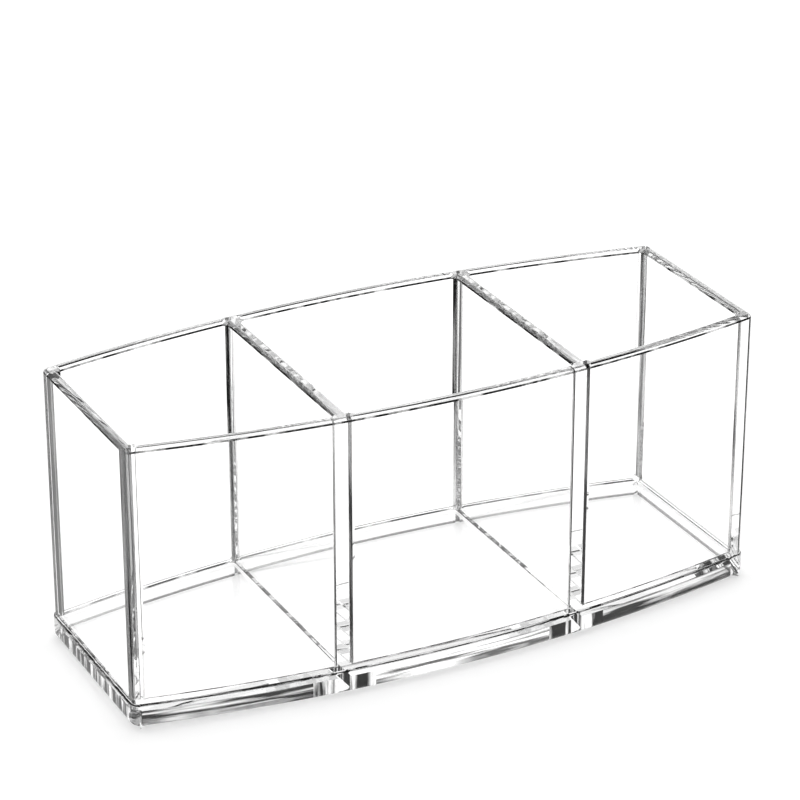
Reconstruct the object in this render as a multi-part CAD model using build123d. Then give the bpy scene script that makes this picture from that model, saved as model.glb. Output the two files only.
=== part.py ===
"""Open-topped brush holder with three compartments, of clear acrylic sheet bonded on a thick, hollow base.

Millimetres. +X runs along the width, -Y is the front, +Z is up, and the underside lies on z = 0.
"""
import math
import os

from build123d import *

# The box outside its walls
body_width = 210.0
end_depth = 63.0
bow = 11.5
total_height = 91.0

# The sheets it is made of
base_thickness = 8.0
floor_thickness = 3.8
bowed_wall_thickness = 3.5
end_wall_thickness = 3.5
divider_thickness = 4.0

# Clear width of the middle compartment, between the dividers
middle_clear_width = 75.5

# How far the base stands out past the walls all round
base_proud = 0.8

# Softened edges
rim_radius = 1.4
wall_corner_radius = 2.0
base_corner_radius = 4.0
base_top_radius = 0.75
base_foot_radius = 2.5

# The bow is an arc through both ends of a wall and its swollen middle
half_width = body_width / 2
bow_radius = (half_width**2 + bow**2) / (2 * bow)
axis_depth = bow_radius - bow - end_depth / 2

# The walls and dividers stand on the base
wall_height = total_height - base_thickness

# Between which places along the width the compartments lie, a divider's thickness apart
middle_reach = middle_clear_width / 2
side_start = middle_reach + divider_thickness
side_reach = half_width - end_wall_thickness
compartments = [(-side_reach, -side_start), (-middle_reach, middle_reach), (side_start, side_reach)]

FRONT, BACK = -1, 1
UP = (0, 0, 1)
half_turn = Rot(0, 0, 180)


def bow_arc(left, right, inset, side):
    """The bow's line in plan between two places along the width, set in from the walls' outer face."""
    radius = bow_radius - inset
    middle = (left + right) / 2
    depths = [(x, side * (math.sqrt(radius**2 - x**2) - axis_depth)) for x in (left, middle, right)]
    return ThreePointArc(*depths)


def sheet(near, far, foot, height):
    """A sheet standing on the plan between two bow lines, closed by straight ends."""
    ends = [Line(near @ 0, far @ 0), Line(near @ 1, far @ 1)]
    return Pos(0, 0, foot) * extrude(make_face([near, far, *ends]), height, UP)


def top_edges(piece):
    return piece.faces().sort_by(Axis.Z)[-1].edges()


def base_plate():
    """The thick base under everything, with softened edges and a hollow below each compartment's floor."""
    reach = half_width + base_proud
    front = bow_arc(-reach, reach, -base_proud, FRONT)
    back = bow_arc(-reach, reach, -base_proud, BACK)
    plate = sheet(front, back, 0, base_thickness)
    plate = fillet(plate.edges().filter_by(Axis.Z), base_corner_radius)
    plate = fillet(plate.faces().sort_by(Axis.Z)[0].edges(), base_foot_radius)
    plate = fillet(top_edges(plate), base_top_radius)
    for left, right in compartments:
        front = bow_arc(left, right, bowed_wall_thickness, FRONT)
        back = bow_arc(left, right, bowed_wall_thickness, BACK)
        plate -= sheet(front, back, 0, base_thickness - floor_thickness)
    return plate


def front_wall():
    """The bent sheet along the front, as wide as the box, with rounded corners and a softened rim."""
    outside = bow_arc(-half_width, half_width, 0, FRONT)
    inside = bow_arc(-half_width, half_width, bowed_wall_thickness, FRONT)
    wall = sheet(outside, inside, base_thickness, wall_height)
    outer_corners = wall.edges().filter_by(Axis.Z).sort_by(Axis.Y)[:2]
    wall = fillet(outer_corners, wall_corner_radius)
    return fillet(top_edges(wall).filter_by(GeomType.CIRCLE), rim_radius)


def cross_sheet(left, thickness):
    """A flat sheet from front to back, its ends cut to the bowed walls' inner faces, its rim softened."""
    front = bow_arc(left, left + thickness, bowed_wall_thickness, FRONT)
    back = bow_arc(left, left + thickness, bowed_wall_thickness, BACK)
    cross = sheet(front, back, base_thickness, wall_height)
    return fillet(top_edges(cross).filter_by(Axis.Y), rim_radius)


def left_end_wall():
    return cross_sheet(-half_width, end_wall_thickness)


def left_divider():
    return cross_sheet(-side_start, divider_thickness)


# The box is the same again after half a turn
pieces = {
    "base_plate": base_plate(),
    "front_wall": front_wall(),
    "back_wall": half_turn * front_wall(),
    "left_end_wall": left_end_wall(),
    "right_end_wall": half_turn * left_end_wall(),
    "left_divider": left_divider(),
    "right_divider": half_turn * left_divider(),
}

os.makedirs("parts", exist_ok=True)
for node, piece in pieces.items():
    export_step(piece, f"parts/{node}.step")
    print(node, round(piece.volume), [round(length, 2) for length in piece.bounding_box().size])
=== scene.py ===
import math

import bmesh
import bpy
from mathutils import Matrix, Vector


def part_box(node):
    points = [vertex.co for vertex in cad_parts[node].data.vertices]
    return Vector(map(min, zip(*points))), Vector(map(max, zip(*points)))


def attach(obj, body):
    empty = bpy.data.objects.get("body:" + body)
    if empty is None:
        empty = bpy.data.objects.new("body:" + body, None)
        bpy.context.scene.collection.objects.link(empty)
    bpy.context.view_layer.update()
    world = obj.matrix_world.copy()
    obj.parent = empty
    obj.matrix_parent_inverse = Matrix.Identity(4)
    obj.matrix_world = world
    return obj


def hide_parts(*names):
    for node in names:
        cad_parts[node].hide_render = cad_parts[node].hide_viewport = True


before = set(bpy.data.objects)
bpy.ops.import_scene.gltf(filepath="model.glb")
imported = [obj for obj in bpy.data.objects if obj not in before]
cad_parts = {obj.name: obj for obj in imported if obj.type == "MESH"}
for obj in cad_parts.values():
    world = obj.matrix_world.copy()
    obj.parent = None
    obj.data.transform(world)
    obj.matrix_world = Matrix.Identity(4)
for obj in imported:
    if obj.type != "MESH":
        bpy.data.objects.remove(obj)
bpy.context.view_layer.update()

# Base
# One thick foot of clear acrylic with a barrel-shaped plan, moulded with a shallow hollow under each
# compartment, so that a skirt and two ribs carry the floors. Every upright sheet stands on its top and is
# solvent-welded there.
base_low, base_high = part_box("base_plate")
wall_low, wall_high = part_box("front_wall")
end_low, end_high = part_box("left_end_wall")
divider_low, divider_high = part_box("left_divider")

FRONT, BACK = -1, 1
UP = (0, 0, 1)
ALONG = (1, 0, 0)
near = 0.00002
dot = 0.0001

# A face or an edge looks along an axis if this much of its direction does. A face is upright if no more than
# this looks up, and an edge is sharp if its two faces turn by more than this.
squarely = 0.9
dead_level = 0.99
upright = 0.05
sharp_fold = 1
smooth_below = math.radians(40)

floor_level = base_high.z
base_reach = base_high.x
wall_reach = wall_high.x
base_proud = base_reach - wall_reach
end_inner = -end_high.x
divider_inner, divider_outer = -divider_high.x, -divider_low.x

bow = 0.0115
bowed_thickness = 0.0035
bow_radius = (wall_reach**2 + bow**2) / (2 * bow)
inner_bow_radius = bow_radius - bowed_thickness
bow_axis = bow_radius + wall_low.y
bow_steps = 96

# At a corner that is wider than square, a bevel of this share of the radius gives that radius
corner_share = 0.8
base_corner_radius = 0.004
base_top_radius = 0.00075
base_foot_radius = 0.0025
base_line_shares = (0.4, 0.9)
hollow_depth = 0.0042
rib_shade_reach = 0.008

# Where a sheet meets a bowed wall, and along the foot of a bowed wall, the solvent leaves a hollow bead
bead_radius = 0.0024
foot_bead_radius = 0.001
bead_turns = [math.radians(turn) for turn in (25, 41, 57, 73, 90)]


def bead_profile(radius):
    """How far back from the joint, and how far out from the sheet, each line along a bead lies."""
    start = math.cos(bead_turns[0])
    return [(radius * (start - math.cos(turn)), radius * (1 - math.sin(turn))) for turn in bead_turns]


bead_reach = bead_profile(bead_radius)[0][1]
floor_bow_radius = inner_bow_radius - bead_profile(foot_bead_radius)[0][1]


def begin_piece(name):
    """Starts a piece with nothing in it yet, at the origin, in edit mode."""
    bpy.ops.object.select_all(action="DESELECT")
    bpy.ops.mesh.primitive_plane_add(size=dot)
    piece = bpy.context.object
    piece.name = piece.data.name = name
    bpy.ops.object.mode_set(mode="EDIT")
    bpy.ops.mesh.select_mode(type="VERT")
    bpy.ops.mesh.delete(type="VERT")
    return piece


def bow_line(radius, reach, side):
    """Draws one bow of the plan: a point at its left end, spun about the bow's axis to its right end."""
    left_end = (-reach, side * (math.sqrt(radius**2 - reach**2) - bow_axis), 0)
    bpy.ops.mesh.primitive_plane_add(size=dot, location=left_end)
    bpy.ops.mesh.merge(type="CENTER")
    turn = side * 2 * math.asin(reach / radius)
    bpy.ops.mesh.spin(steps=bow_steps, angle=turn, center=(0, -side * bow_axis, 0), axis=UP)


def raise_plan(foot, top):
    """Fills the plan between the bow lines drawn so far and raises it to a closed sheet."""
    bpy.ops.mesh.select_all(action="SELECT")
    bpy.ops.mesh.bridge_edge_loops(type="SINGLE")
    bpy.ops.mesh.select_all(action="SELECT")
    bpy.ops.transform.translate(value=(0, 0, foot))
    bpy.ops.mesh.extrude_region_move(TRANSFORM_OT_translate={"value": (0, 0, top - foot)})
    bpy.ops.mesh.select_all(action="SELECT")
    bpy.ops.mesh.normals_make_consistent(inside=False)


def score(place, across):
    """Scores a piece all round where a plane cuts it."""
    bpy.ops.mesh.select_all(action="SELECT")
    bpy.ops.mesh.bisect(plane_co=place, plane_no=across)


def score_across(places):
    """Scores a piece from front to back at these places along its length, on the left and on the right."""
    for place in places:
        for x in (-place, place):
            score((x, 0, 0), ALONG)


def pick_faces(piece, wanted):
    """Selects the faces whose middle and facing pass a test."""
    bpy.ops.mesh.select_mode(type="FACE")
    bpy.ops.mesh.select_all(action="DESELECT")
    mesh = bmesh.from_edit_mesh(piece.data)
    for face in mesh.faces:
        face.select_set(wanted(face.calc_center_median(), face.normal))
    bmesh.update_edit_mesh(piece.data)


def pick_edges(piece, wanted):
    """Selects the edges whose middle, direction and fold between their two faces pass a test."""
    bpy.ops.mesh.select_mode(type="EDGE")
    bpy.ops.mesh.select_all(action="DESELECT")
    mesh = bmesh.from_edit_mesh(piece.data)
    for edge in mesh.edges:
        first, second = (corner.co for corner in edge.verts)
        run = (second - first).normalized()
        edge.select_set(wanted((first + second) / 2, run, edge.calc_face_angle(0)))
    bmesh.update_edit_mesh(piece.data)


def round_over(radius, steps):
    """Rounds the picked edges."""
    bpy.ops.mesh.bevel(offset=radius, segments=steps, affect="EDGES", clamp_overlap=False)


def between(value, limits):
    """True for a value inside a pair of limits."""
    return limits[0] < value < limits[1]


def from_bow_axis(middle):
    """Distance from the axis of the nearer bow, in plan."""
    return math.hypot(middle.x, abs(middle.y) + bow_axis)


def in_a_compartment(middle, margin=0):
    """True between the dividers, or between a divider and an end wall, this far or further from them."""
    place = abs(middle.x)
    return place < divider_inner - margin or divider_outer + margin < place < end_inner - margin


def in_a_hollow(middle):
    """True below the floors, within the outline of the hollows or on it."""
    return (between(middle.z, (near, hollow_depth)) and from_bow_axis(middle) < floor_bow_radius + near
            and abs(middle.x) < end_inner + near)


def linear(code):
    """A colour written as sRGB hex, as the linear colour that a shader takes."""
    parts = [int(code[i:i + 2], 16) / 255 for i in (1, 3, 5)]
    return [part / 12.92 if part <= 0.04045 else ((part + 0.055) / 1.055) ** 2.4 for part in parts] + [1]


def add_node(tree, kind, settings={}, links={}):
    """Adds a node with its settings and values, and links other nodes' outputs to its inputs."""
    node = tree.nodes.new(kind)
    for name, value in settings.items():
        if isinstance(name, int) or name in node.inputs:
            node.inputs[name].default_value = value
        else:
            setattr(node, name, value)
    for name, output in links.items():
        tree.links.new(output, node.inputs[name])
    return node


def new_material(name):
    """A material with no nodes in it yet."""
    material = bpy.data.materials.new(name)
    material.use_nodes = True
    material.node_tree.nodes.clear()
    return material


# Cast acrylic: clear, colourless and polished flat, so only its edges show. Light that is trapped between its
# faces and runs along a sheet is dimmed a little on the way. Lamps shine straight through.
# Flame-polished edge: the same acrylic, melted smooth after sawing, which leaves it a little wavy.
acrylic_white = "#ffffff"
acrylic_ior = 1.491
half_light_length = 0.8
haze_size = 0.006
least_haze_from, most_haze_from = 0.3, 0.8
most_haze = 0.01
sheet_wave_length = 0.08
sheet_wave_height = 0.000001
edge_wave_length = 0.005
edge_wave_height = 0.0001
lamp_through_sheet = "#fafafa"
lamp_through_edge = "#8c8c8c"
upright_streaks = (1, 1, 0.1)


def acrylic_finish(name, wave_length, wave_height, lamp_share):
    """Clear acrylic, wavy on this scale, that lets this much of a lamp's light straight through."""
    material = new_material(name)
    tree = material.node_tree
    place = add_node(tree, "ShaderNodeTexCoord")
    drawn_up = add_node(tree, "ShaderNodeVectorMath", {"operation": "MULTIPLY", 1: upright_streaks},
                        {0: place.outputs["Object"]})
    wave = add_node(tree, "ShaderNodeTexNoise", {"Scale": 1 / wave_length, "Detail": 1},
                    {"Vector": drawn_up.outputs["Vector"]})
    bump = add_node(tree, "ShaderNodeBump", {"Distance": wave_height}, {"Height": wave.outputs["Fac"]})
    haze = add_node(tree, "ShaderNodeTexNoise", {"Scale": 1 / haze_size, "Detail": 3},
                    {"Vector": place.outputs["Object"]})
    rough = add_node(tree, "ShaderNodeMapRange",
                     {"From Min": least_haze_from, "From Max": most_haze_from,
                      "To Min": 0, "To Max": most_haze},
                     {"Value": haze.outputs["Fac"]})
    body = add_node(tree, "ShaderNodeBsdfPrincipled",
                    {"Base Color": linear(acrylic_white), "IOR": acrylic_ior, "Transmission Weight": 1},
                    {"Roughness": rough.outputs["Result"], "Normal": bump.outputs["Normal"]})
    lost = add_node(tree, "ShaderNodeBsdfDiffuse", {"Color": (0, 0, 0, 1)})
    path = add_node(tree, "ShaderNodeLightPath")
    geometry = add_node(tree, "ShaderNodeNewGeometry")
    halvings = add_node(tree, "ShaderNodeMath", {"operation": "DIVIDE", 1: half_light_length},
                        {0: path.outputs["Ray Length"]})
    left = add_node(tree, "ShaderNodeMath", {"operation": "POWER", 0: 0.5}, {1: halvings.outputs[0]})
    gone = add_node(tree, "ShaderNodeMath", {"operation": "SUBTRACT", 0: 1}, {1: left.outputs[0]})
    gone_inside = add_node(tree, "ShaderNodeMath", {"operation": "MULTIPLY"},
                           {0: gone.outputs[0], 1: geometry.outputs["Backfacing"]})
    dimmed = add_node(tree, "ShaderNodeMixShader", {},
                      {0: gone_inside.outputs[0], 1: body.outputs[0], 2: lost.outputs[0]})
    lamp_light = add_node(tree, "ShaderNodeBsdfTransparent", {"Color": linear(lamp_share)})
    mix = add_node(tree, "ShaderNodeMixShader", {},
                   {0: path.outputs["Is Shadow Ray"], 1: dimmed.outputs[0], 2: lamp_light.outputs[0]})
    add_node(tree, "ShaderNodeOutputMaterial", {}, {"Surface": mix.outputs[0]})
    return material


acrylic = acrylic_finish("polished cast acrylic", sheet_wave_length, sheet_wave_height, lamp_through_sheet)
edge = acrylic_finish("flame-polished acrylic edge", edge_wave_length, edge_wave_height, lamp_through_edge)

# Solvent weld: the solvent melts both faces into one, so light crosses the joint as if it weren't there.
weld = new_material("solvent weld")
tree = weld.node_tree
clear = add_node(tree, "ShaderNodeBsdfTransparent")
add_node(tree, "ShaderNodeOutputMaterial", {}, {"Surface": clear.outputs["BSDF"]})

# Painted shade weld: a joint that lets through only a little of the light that crosses it, in patches, as
# painted shade.
shade_patch = 0.004
darkest_from, lightest_from = 0.35, 0.65
least_through, most_through = 0.06, 0.22
weld_painted_shade = new_material("solvent weld dimmed as painted shade")
tree = weld_painted_shade.node_tree
place = add_node(tree, "ShaderNodeTexCoord")
shade_patches = add_node(tree, "ShaderNodeTexNoise", {"Scale": 1 / shade_patch, "Detail": 2},
                   {"Vector": place.outputs["Object"]})
share = add_node(tree, "ShaderNodeMapRange",
                 {"From Min": darkest_from, "From Max": lightest_from,
                  "To Min": least_through, "To Max": most_through},
                 {"Value": shade_patches.outputs["Fac"]})
clear = add_node(tree, "ShaderNodeBsdfTransparent", {}, {"Color": share.outputs["Result"]})
add_node(tree, "ShaderNodeOutputMaterial", {}, {"Surface": clear.outputs["BSDF"]})

# Painted shade: clear acrylic with a streaked grey mixed in, which stands in for shade; where it shows from
# everywhere the acrylic is also finely rough. In the hollows it lies behind the polished outside, and shows as
# a streaked grey band of painted shade straight through that.
matt_roughness = 0.25
level_streaks = (0.12, 0.12, 3)
lighter_shade_from, darker_shade_from = 0.38, 0.62
skirt_painted_shade = "#303030"
rib_painted_shade = "#181818"
sawn_grey_and_painted_shade = "#404040"
skirt_shade_streak_width = 0.004
rib_shade_streak_width = 0.0035
saw_width = 0.004


def painted_shade_finish(name, painted_shade_code, streak_width, stretch, lightest, darkest, seen_from):
    """Clear acrylic with painted shade: a grey in streaks this wide, drawn out one way, mixed in between these
    shares.

    It shows from everywhere, only from outside, or only straight through the one face before it.
    """
    material = new_material(name)
    tree = material.node_tree
    place = add_node(tree, "ShaderNodeTexCoord")
    drawn_out = add_node(tree, "ShaderNodeVectorMath", {"operation": "MULTIPLY", 1: stretch},
                         {0: place.outputs["Object"]})
    streaks = add_node(tree, "ShaderNodeTexNoise", {"Scale": 1 / streak_width, "Detail": 3},
                       {"Vector": drawn_out.outputs["Vector"]})
    share = add_node(tree, "ShaderNodeMapRange",
                     {"From Min": lighter_shade_from, "From Max": darker_shade_from,
                      "To Min": lightest, "To Max": darkest},
                     {"Value": streaks.outputs["Fac"]})
    seen = share.outputs["Result"]
    path = add_node(tree, "ShaderNodeLightPath")
    if seen_from == "outside":
        geometry = add_node(tree, "ShaderNodeNewGeometry")
        outside = add_node(tree, "ShaderNodeMath", {"operation": "SUBTRACT", 0: 1},
                           {1: geometry.outputs["Backfacing"]})
        seen = add_node(tree, "ShaderNodeMath", {"operation": "MULTIPLY"},
                        {0: seen, 1: outside.outputs[0]}).outputs[0]
    if seen_from == "through":
        behind_one = add_node(tree, "ShaderNodeMath", {"operation": "COMPARE", 1: 1, 2: 0.5},
                              {0: path.outputs["Ray Depth"]})
        seen = add_node(tree, "ShaderNodeMath", {"operation": "MULTIPLY"},
                        {0: seen, 1: behind_one.outputs[0]}).outputs[0]
    body = add_node(tree, "ShaderNodeBsdfPrincipled",
                    {"Base Color": linear(acrylic_white), "IOR": acrylic_ior, "Transmission Weight": 1,
                     "Roughness": matt_roughness if seen_from == "everywhere" else 0})
    grey = add_node(tree, "ShaderNodeBsdfDiffuse", {"Color": linear(painted_shade_code)})
    streaked = add_node(tree, "ShaderNodeMixShader", {}, {0: seen, 1: body.outputs[0], 2: grey.outputs[0]})
    lamp_light = add_node(tree, "ShaderNodeBsdfTransparent", {"Color": linear(lamp_through_edge)})
    mix = add_node(tree, "ShaderNodeMixShader", {},
                   {0: path.outputs["Is Shadow Ray"], 1: streaked.outputs[0], 2: lamp_light.outputs[0]})
    add_node(tree, "ShaderNodeOutputMaterial", {}, {"Surface": mix.outputs[0]})
    return material


# The hollows' sides take painted shade: level streaks, fainter in the middle, and darker upright streaks at the
# ends and by the ribs
skirt = painted_shade_finish("painted shade in the hollows", skirt_painted_shade, skirt_shade_streak_width, level_streaks,
                    lightest=0.25, darkest=1.3, seen_from="through")
fainter_skirt_shade = painted_shade_finish("fainter painted shade in the hollows", skirt_painted_shade, skirt_shade_streak_width, level_streaks,
                           lightest=-0.6, darkest=0.9, seen_from="through")
end_skirt_shade = painted_shade_finish("upright streaks of painted shade in the hollows", rib_painted_shade, rib_shade_streak_width, upright_streaks,
                        lightest=-0.1, darkest=1.8, seen_from="through")
# The sawn ends are grey with saw marks, and that grey is also painted shade for the dark strips down the
# corners
sawn = painted_shade_finish("sawn acrylic end with painted shade", sawn_grey_and_painted_shade, saw_width, upright_streaks,
                   lightest=0.5, darkest=0.95, seen_from="everywhere")

# Painted shade lines: along each edge a thin dark line of painted shade, stronger here than there. Along the
# foot of a flat sheet it is a line of painted shade that shows only from outside.
painted_line_grey = "#202020"
dash_length = 0.008
edge_line_shade = painted_shade_finish("painted shade line along an edge", painted_line_grey, dash_length, upright_streaks,
                        lightest=0.4, darkest=1.4, seen_from="everywhere")
foot_line_shade = painted_shade_finish("painted shade line along a foot", painted_line_grey, dash_length, upright_streaks,
                            lightest=0.4, darkest=1.4, seen_from="outside")

finishes = [acrylic, weld, edge, weld_painted_shade, skirt, fainter_skirt_shade, end_skirt_shade, sawn, edge_line_shade, foot_line_shade]
ACRYLIC, WELD, EDGE, PAINTED_SHADE_WELD, SKIRT_PAINTED_SHADE, MIDDLE_PAINTED_SHADE, END_PAINTED_SHADE, SAWN_AND_SHADED, PAINTED_SHADE_LINE, PAINTED_FOOT_SHADE = range(10)


def add_finishes(piece):
    """Gives a piece every finish, in the order in which they are numbered."""
    for finish in finishes:
        piece.data.materials.append(finish)


def paint(piece, finish):
    """Gives the picked faces one of the piece's finishes."""
    piece.active_material_index = finish
    bpy.ops.object.material_slot_assign()


def fit(piece, node):
    """The piece stands for the node, which is hidden, and rides on the one body."""
    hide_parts(node)
    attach(piece, "root")


def polish(piece, node):
    """Leaves edit mode, smooths the rounded edges with the flats kept flat, and fits the piece to its node."""
    bpy.ops.object.mode_set(mode="OBJECT")
    bpy.ops.object.shade_smooth_by_angle(angle=smooth_below)
    piece.modifiers.new("flats", "WEIGHTED_NORMAL").keep_sharp = True
    bpy.ops.object.modifier_apply(modifier="flats")
    fit(piece, node)


base = begin_piece("base_slab")
add_finishes(base)
for radius, side in (
    (bow_radius + base_proud, FRONT),
    (floor_bow_radius, FRONT),
    (floor_bow_radius, BACK),
    (bow_radius + base_proud, BACK),
):
    bow_line(radius, base_reach, side)
raise_plan(base_low.z, base_high.z)

# The underside is left as three faces: a strip along the front, one along the back and the rest between them
for strip in (
    lambda middle: from_bow_axis(middle) < floor_bow_radius,
    lambda middle: from_bow_axis(middle) > floor_bow_radius and middle.y < 0,
    lambda middle: from_bow_axis(middle) > floor_bow_radius and middle.y > 0,
):
    pick_faces(base, lambda middle, facing: facing.z < -squarely and strip(middle))
    bpy.ops.mesh.dissolve_faces()
pick_edges(base, lambda middle, run, fold: abs(run.z) > squarely and fold > sharp_fold)
round_over(base_corner_radius * corner_share, steps=7)
pick_edges(base, lambda middle, run, fold: middle.z < near and fold > sharp_fold)
round_over(base_foot_radius, steps=6)
pick_edges(base, lambda middle, run, fold: middle.z > floor_level - near and fold > sharp_fold)
round_over(base_top_radius, steps=3)
pick_faces(base, lambda middle, facing: abs(facing.z) < dead_level)
paint(base, EDGE)

# A line of painted shade runs along the middle of the rounded top edge
pick_faces(base, lambda middle, facing: middle.z > floor_level - base_top_radius
           and between(facing.z, base_line_shares))
paint(base, PAINTED_SHADE_LINE)

# Inside the narrow ledge all round, the top is welded to the sheets on it, apart from the compartments' floors
pick_faces(base, lambda middle, facing: facing.z > squarely and middle.z > floor_level - near)
bpy.ops.mesh.inset(thickness=base_proud - base_top_radius)
paint(base, WELD)
# Beside each rib a strip of the hollows' sides takes the darker painted shade
by_a_rib = (divider_inner - rib_shade_reach, divider_outer + rib_shade_reach)
score_across((by_a_rib[0], divider_inner, divider_outer, by_a_rib[1], end_inner))
pick_faces(base, lambda middle, facing: facing.z > squarely and middle.z > floor_level - near
           and from_bow_axis(middle) < floor_bow_radius and in_a_compartment(middle))
paint(base, ACRYLIC)

# The hollows are pressed up from the underside, one below each floor. Their sides get painted shade in long
# level streaks, fainter in the middle, and darker painted shade in upright streaks at both ends and on either
# side of the ribs.
pick_faces(base, lambda middle, facing: facing.z < -squarely and middle.z < near
           and from_bow_axis(middle) < floor_bow_radius and in_a_compartment(middle))
bpy.ops.mesh.extrude_region_move(TRANSFORM_OT_translate={"value": (0, 0, hollow_depth)})
pick_faces(base, lambda middle, facing: abs(facing.z) < upright and in_a_hollow(middle))
paint(base, SKIRT_PAINTED_SHADE)
pick_faces(base, lambda middle, facing: abs(facing.y) > squarely and in_a_hollow(middle)
           and abs(middle.x) < divider_inner)
paint(base, MIDDLE_PAINTED_SHADE)
pick_faces(base, lambda middle, facing: abs(facing.z) < upright and in_a_hollow(middle)
           and (abs(facing.x) > squarely or between(abs(middle.x), by_a_rib)))
paint(base, END_PAINTED_SHADE)

# The skirt and the ribs sit flat on the table, so light goes straight through to it
pick_faces(base, lambda middle, facing: facing.z < -squarely and middle.z < near)
paint(base, WELD)
polish(base, "base_plate")

# Bowed walls
# Two sheets of clear acrylic, bent warm over a form to a shallow bow and trimmed square at both ends. Each runs
# the full length of the base, with its upright corners and its rim rubbed round and flame-polished.
rim_level = wall_high.z
rim_radius = 0.0014
wall_corner_radius = 0.002

# How far each end's saw marks, grey and painted with shade, reach round its corner, and which way the faces
# with painted shade lines look
left_sawn_and_shaded_share, right_sawn_and_shaded_share = 0.6, 0.45
rim_line_shares = (0.05, 0.4)
bead_line_shares = (0.3, 0.75)
front_line_shares = (0.28, 0.45)
end_line_shares = (0.9, 0.985)


def at_a_corner(middle, facing):
    """True for the upright faces of a bowed wall's two ends and their rounded corners."""
    return abs(facing.z) < upright and abs(middle.x) > wall_reach - wall_corner_radius


front_wall = begin_piece("front_sheet")
add_finishes(front_wall)
bow_line(bow_radius, wall_reach, FRONT)
bow_line(inner_bow_radius, wall_reach, FRONT)
raise_plan(floor_level, rim_level)
pick_edges(front_wall, lambda middle, run, fold: abs(run.z) > squarely and fold > sharp_fold
           and from_bow_axis(middle) > bow_radius - near)
round_over(wall_corner_radius * corner_share, steps=5)
score_across((divider_inner - bead_reach, divider_outer + bead_reach, end_inner - bead_reach))
for back, out in bead_profile(foot_bead_radius)[1:]:
    score((0, 0, floor_level + back), UP)
for back, out in bead_profile(foot_bead_radius):
    pick_edges(front_wall, lambda middle, run, fold: abs(middle.z - floor_level - back) < near
               and abs(run.z) < near and from_bow_axis(middle) < inner_bow_radius + near
               and in_a_compartment(middle, bead_reach))
    bpy.ops.transform.translate(value=(0, out, 0))
pick_edges(front_wall, lambda middle, run, fold: middle.z > rim_level - near and fold > sharp_fold
           and (from_bow_axis(middle) > inner_bow_radius + near or in_a_compartment(middle, bead_reach)))
round_over(rim_radius, steps=7)
pick_faces(front_wall, lambda middle, facing: middle.z > rim_level - rim_radius)
paint(front_wall, EDGE)
# The ends and their rounded corners get the saw-marked grey, which is also painted shade for the dark strips
# down the corners
pick_faces(front_wall, lambda middle, facing: at_a_corner(middle, facing)
           and (facing.x < -left_sawn_and_shaded_share or facing.x > right_sawn_and_shaded_share))
paint(front_wall, SAWN_AND_SHADED)

# Lines of painted shade run along both sides of the rim, along the bead at the foot and down the corners
pick_faces(front_wall, lambda middle, facing:
           middle.z > rim_level - rim_radius and between(facing.z, rim_line_shares)
           or middle.z < floor_level + foot_bead_radius and between(facing.z, bead_line_shares)
           or at_a_corner(middle, facing)
           and (between(facing.x, front_line_shares) or between(abs(facing.x), end_line_shares)))
paint(front_wall, PAINTED_SHADE_LINE)
pick_faces(front_wall, lambda middle, facing: facing.z < -squarely or (
    facing.y > squarely and not in_a_compartment(middle, bead_reach)
    and abs(from_bow_axis(middle) - inner_bow_radius) < near))
paint(front_wall, WELD)
polish(front_wall, "front_wall")


def take_up(piece):
    """Makes this piece the only one selected."""
    bpy.ops.object.select_all(action="DESELECT")
    piece.select_set(True)
    bpy.context.view_layer.objects.active = piece


def half_turn_copy(piece, name, node):
    """The same piece again, half a turn round the middle of the box, with a mesh of its own."""
    take_up(piece)
    bpy.ops.object.duplicate(linked=False)
    copy = bpy.context.object
    copy.name = copy.data.name = name
    copy.parent = None
    copy.rotation_euler.z = math.pi
    bpy.ops.object.transform_apply(rotation=True)
    fit(copy, node)


half_turn_copy(front_wall, "back_sheet", "back_wall")

# End walls
# Flat sheets of the same acrylic, let in between the bowed walls at both ends, with their ends sawn to the
# slant of the bow and welded there and to the base. The left one's weld at the back is dimmed as painted shade.
spare_share = 1.5
foot_line_height = 0.0004
end_cove_line_shares = (0.45, 0.95)


def cross_sheet(name, low, high, open_sides):
    """A flat sheet from front to back, sawn to the bowed walls, with a round rim and coves at the joints."""
    middle_x = (low.x + high.x) / 2
    bpy.ops.object.select_all(action="DESELECT")
    bpy.ops.mesh.primitive_cube_add(size=1, location=(middle_x, 0, (low.z + high.z) / 2),
                                    scale=(high.x - low.x, spare_share * (high.y - low.y), high.z - low.z))
    sheet = bpy.context.object
    sheet.name = sheet.data.name = name
    bpy.ops.object.transform_apply(location=True, scale=True)
    add_finishes(sheet)
    bpy.ops.object.mode_set(mode="EDIT")
    pick_edges(sheet, lambda middle, run, fold: middle.z > rim_level - near and abs(run.y) > squarely)
    round_over(rim_radius, steps=7)
    depth_to_axis = math.sqrt(inner_bow_radius**2 - middle_x**2)
    for side in (FRONT, BACK):
        outwards = Vector((middle_x, side * depth_to_axis, 0)).normalized()
        end = Vector((middle_x, side * (depth_to_axis - bow_axis), 0))
        bpy.ops.mesh.select_all(action="SELECT")
        bpy.ops.mesh.bisect(plane_co=end, plane_no=outwards, use_fill=True, clear_outer=True)
        for back, out in bead_profile(bead_radius)[1:]:
            score(end - outwards * back, outwards)
        for back, out in bead_profile(bead_radius):
            for way, face_x in open_sides:
                pick_edges(sheet, lambda middle, run, fold: abs(run.z) > squarely
                           and abs(middle.x - face_x) < near
                           and abs((end - middle).dot(outwards) - back) < near)
                bpy.ops.transform.translate(value=(way * out, 0, 0))
    return sheet


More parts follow.
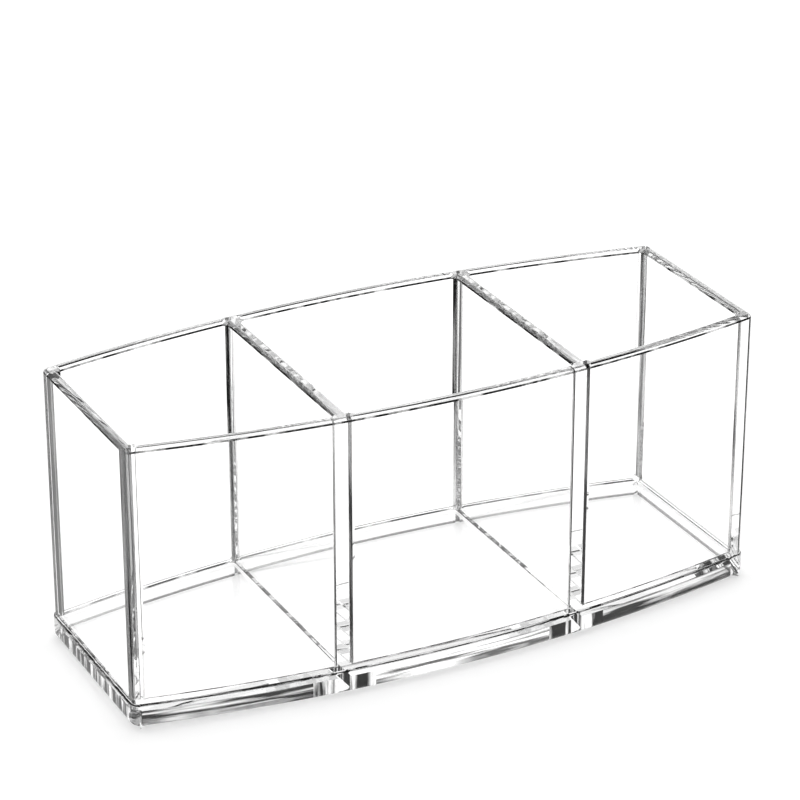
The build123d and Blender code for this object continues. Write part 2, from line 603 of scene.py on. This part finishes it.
def finish_cross_sheet(sheet, node, lined, cove_line_shares):
    """Lays the finishes on, with lines of painted shade along rim and foot, and down the coves that are lined.
    """
    pick_faces(sheet, lambda middle, facing: middle.z > rim_level - rim_radius)
    paint(sheet, EDGE)
    score((0, 0, floor_level + foot_line_height), UP)
    pick_faces(sheet, lambda middle, facing:
               middle.z > rim_level - rim_radius and between(facing.z, rim_line_shares)
               or abs(facing.z) < upright and between(abs(facing.x), cove_line_shares) and lined(middle))
    paint(sheet, PAINTED_SHADE_LINE)
    # The foot of each face gets a thin line of painted shade, seen only from outside
    pick_faces(sheet, lambda middle, facing: middle.z < floor_level + foot_line_height
               and abs(facing.x) > squarely)
    paint(sheet, PAINTED_FOOT_SHADE)
    pick_faces(sheet, lambda middle, facing: facing.z < -squarely
               or (abs(facing.y) > squarely and from_bow_axis(middle) > inner_bow_radius - near))
    paint(sheet, WELD)
    polish(sheet, node)


left_end = cross_sheet("left_end_sheet", end_low, end_high, [(1, end_high.x)])
finish_cross_sheet(left_end, "left_end_wall", lambda middle: middle.y > 0, end_cove_line_shares)
half_turn_copy(left_end, "right_end_sheet", "right_end_wall")
# The left end's back joint takes the dimmed weld, painted shade for the dark strip down the back left corner
take_up(left_end)
bpy.ops.object.mode_set(mode="EDIT")
pick_faces(left_end, lambda middle, facing: facing.y > squarely
           and from_bow_axis(middle) > inner_bow_radius - near)
paint(left_end, PAINTED_SHADE_WELD)
bpy.ops.object.mode_set(mode="OBJECT")

# Dividers
# Two flat sheets, a little thicker than the walls, that split the box into three. They stand on the base and
# are welded to it and to both bowed walls.
divider_cove_line_shares = (0.65, 0.95)
left_divider = cross_sheet("left_divider_sheet", divider_low, divider_high,
                           [(-1, divider_low.x), (1, divider_high.x)])
finish_cross_sheet(left_divider, "left_divider", lambda middle: True, divider_cove_line_shares)
half_turn_copy(left_divider, "right_divider_sheet", "right_divider")

# Table top
# The smooth white surface that the holder stands on, wide enough to fill every view. It glows a little, and
# more where it is seen through the acrylic.
table_size = 8
table_white = "#f2f2f2"
table_lift = 0.11
table_lift_through = 0.33
air_gap = 0.0002

bpy.ops.object.select_all(action="DESELECT")
bpy.ops.mesh.primitive_plane_add(size=table_size, location=(0, 0, -air_gap))
table = bpy.context.object
table.name = table.data.name = "table_top"
table_finish = new_material("matt white laminate")
tree = table_finish.node_tree
matt = add_node(tree, "ShaderNodeBsdfDiffuse", {"Color": linear(table_white)})
path = add_node(tree, "ShaderNodeLightPath")
lift = add_node(tree, "ShaderNodeMapRange", {"To Min": table_lift, "To Max": table_lift_through},
                {"Value": path.outputs["Is Transmission Ray"]})
glow = add_node(tree, "ShaderNodeEmission", {"Color": (1, 1, 1, 1)}, {"Strength": lift.outputs["Result"]})
both = add_node(tree, "ShaderNodeAddShader", {}, {0: matt.outputs[0], 1: glow.outputs[0]})
add_node(tree, "ShaderNodeOutputMaterial", {}, {"Surface": both.outputs[0]})
table.data.materials.append(table_finish)

# Studio light
# A white tent of soft light all round, dark overhead, with its white reaching higher at the back and on the
# right, and one broad lamp from behind and above. The camera sees plain white behind everything.
tent_slope = (-0.15, -0.3, 1)
tent_white_below, tent_dark_above = 0.25, 0.55
fill_strength = 0.84
lamp_strength = 1.0
lamp_width = math.radians(60)
lamp_lean = (math.radians(-30), math.radians(12), 0)

world = bpy.data.worlds.new("light tent")
bpy.context.scene.world = world
world.use_nodes = True
tree = world.node_tree
tree.nodes.clear()
place = add_node(tree, "ShaderNodeTexCoord")
height = add_node(tree, "ShaderNodeVectorMath", {"operation": "DOT_PRODUCT", 1: tent_slope},
                  {0: place.outputs["Generated"]})
overhead = add_node(tree, "ShaderNodeMapRange",
                    {"From Min": tent_white_below, "From Max": tent_dark_above, "To Min": 1, "To Max": 0},
                    {"Value": height.outputs["Value"]})
path = add_node(tree, "ShaderNodeLightPath")
backdrop = add_node(tree, "ShaderNodeBackground", {"Color": (1, 1, 1, 1), "Strength": 1})
fill = add_node(tree, "ShaderNodeBackground", {"Color": (1, 1, 1, 1), "Strength": fill_strength})
tent = add_node(tree, "ShaderNodeBackground", {"Color": (1, 1, 1, 1)}, {"Strength": overhead.outputs["Result"]})
on_the_table = add_node(tree, "ShaderNodeMath", {"operation": "MINIMUM", 1: 1},
                        {0: path.outputs["Diffuse Depth"]})
lit = add_node(tree, "ShaderNodeMixShader", {},
               {0: on_the_table.outputs[0], 1: tent.outputs[0], 2: fill.outputs[0]})
mix = add_node(tree, "ShaderNodeMixShader", {},
               {0: path.outputs["Is Camera Ray"], 1: lit.outputs[0], 2: backdrop.outputs[0]})
add_node(tree, "ShaderNodeOutputWorld", {}, {"Surface": mix.outputs[0]})

bpy.ops.object.light_add(type="SUN", rotation=lamp_lean)
lamp = bpy.context.object
lamp.data.energy = lamp_strength
lamp.visible_glossy = lamp.visible_transmission = False
lamp.data.angle = lamp_width

# Camera
# Where the photograph was taken from: front left, looking down on the rim through a long lens.
aim = (-0.001279, 0, 0.071226)
camera_turn = math.radians(-27.141)
camera_tilt = math.radians(25.264)
camera_distance = 0.99399
film_width = 36
lens_length = 146.45
nearest_sight = 0.05
camera_data = bpy.data.cameras.new("camera")
camera = bpy.data.objects.new("camera", camera_data)
bpy.context.collection.objects.link(camera)
camera_data.sensor_width = film_width
camera_data.lens = lens_length
camera_data.clip_start = nearest_sight
camera.rotation_euler = (math.pi / 2 - camera_tilt, 0, camera_turn)
camera.location = (
    aim[0] + camera_distance * math.cos(camera_tilt) * math.sin(camera_turn),
    aim[1] - camera_distance * math.cos(camera_tilt) * math.cos(camera_turn),
    aim[2] + camera_distance * math.sin(camera_tilt),
)
bpy.context.scene.camera = camera

# Light may cross many faces of clear acrylic before it ends
most_crossings = 40
most_mirrorings = 22
scene = bpy.context.scene
scene.view_settings.view_transform = "Standard"
scene.cycles.blur_glossy = 0
scene.cycles.max_bounces = most_crossings
scene.cycles.transmission_bounces = most_crossings
scene.cycles.glossy_bounces = most_mirrorings
scene.cycles.transparent_max_bounces = most_crossings
